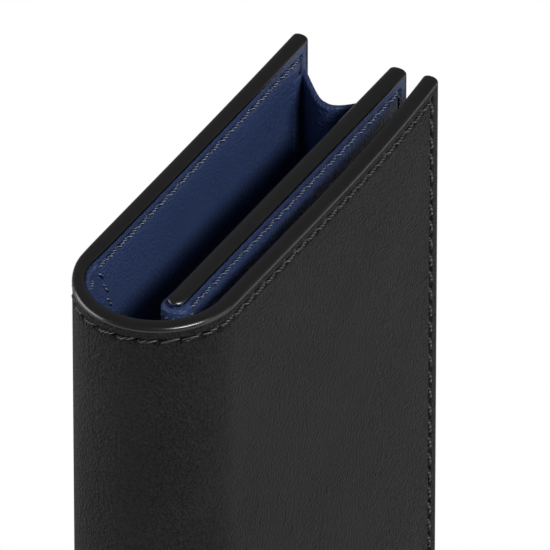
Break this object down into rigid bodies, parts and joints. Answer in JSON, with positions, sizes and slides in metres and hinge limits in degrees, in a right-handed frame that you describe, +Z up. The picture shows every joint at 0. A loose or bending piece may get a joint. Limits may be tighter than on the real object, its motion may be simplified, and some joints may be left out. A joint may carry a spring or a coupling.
{
  "type": "card holder",
  "caption": "Folding leather card holder with a rounded spine, a divider, a gusseted card pocket open at the top and painted edges.",
  "frame": {"origin": "middle of the bounding box, on the surface the holder stands on", "axes": "+X from the spine to the fore-edge, +Y from the front leaf to the back leaf, +Z up along the leaf's long side"},
  "size_m": [0.075, 0.0252, 0.11],
  "materials": {
    "outer_leather": "fine-grained semi-matt black",
    "lining_leather": "fine-grained semi-matt dark blue",
    "edge_paint": "domed satin black edge paint",
    "black_thread": "waxed twisted thread",
    "blue_thread": "waxed twisted thread",
    "board": "plain board"
  },
  "bodies": {
    "back": {"back_leather": "outer_leather", "back_lining": "lining_leather", "back_board": "board", "back_edge_paint": "edge_paint", "back_edge_thread": "black_thread", "gusset_fore_edge": "lining_leather", "gusset_bottom": "lining_leather", "gusset_spine_side": "lining_leather", "gusset_flange_thread": "blue_thread"},
    "spine": {"spine_leather": "outer_leather", "spine_lining": "lining_leather", "spine_edge_paint": "edge_paint", "spine_edge_thread": "black_thread"},
    "front": {"front_leather": "outer_leather", "front_lining": "lining_leather", "front_board": "board", "front_edge_paint": "edge_paint", "front_edge_thread": "black_thread", "front_slip_panel": "lining_leather", "front_panel_thread": "blue_thread"},
    "divider": {"divider_front_leather": "lining_leather", "divider_back_leather": "lining_leather", "divider_board": "board", "divider_spine_wrap": "lining_leather", "divider_edge_paint": "edge_paint", "divider_edge_thread": "blue_thread", "divider_card_panel": "lining_leather", "divider_panel_thread": "blue_thread"}
  },
  "joints": [
    {"name": "back_fold", "type": "hinge", "parent": "back", "child": "spine", "pos_m": [-0.03381, 0.00891, 0.055], "axis": [0, 0, -1], "range_deg": [0, 90]},
    {"name": "front_fold", "type": "hinge", "parent": "spine", "child": "front", "pos_m": [-0.03381, -0.00891, 0.055], "axis": [0, 0, -1], "range_deg": [0, 90]},
    {"name": "pocket_close", "type": "slide", "parent": "back", "child": "divider", "axis": [0, 1, 0], "range_m": [0, 0.0092], "deforming": ["gusset_fore_edge", "gusset_bottom", "gusset_spine_side"]}
  ],
  "couplings": [
    {"joint": "front_fold", "follows": "back_fold", "ratio": 1}
  ]
}
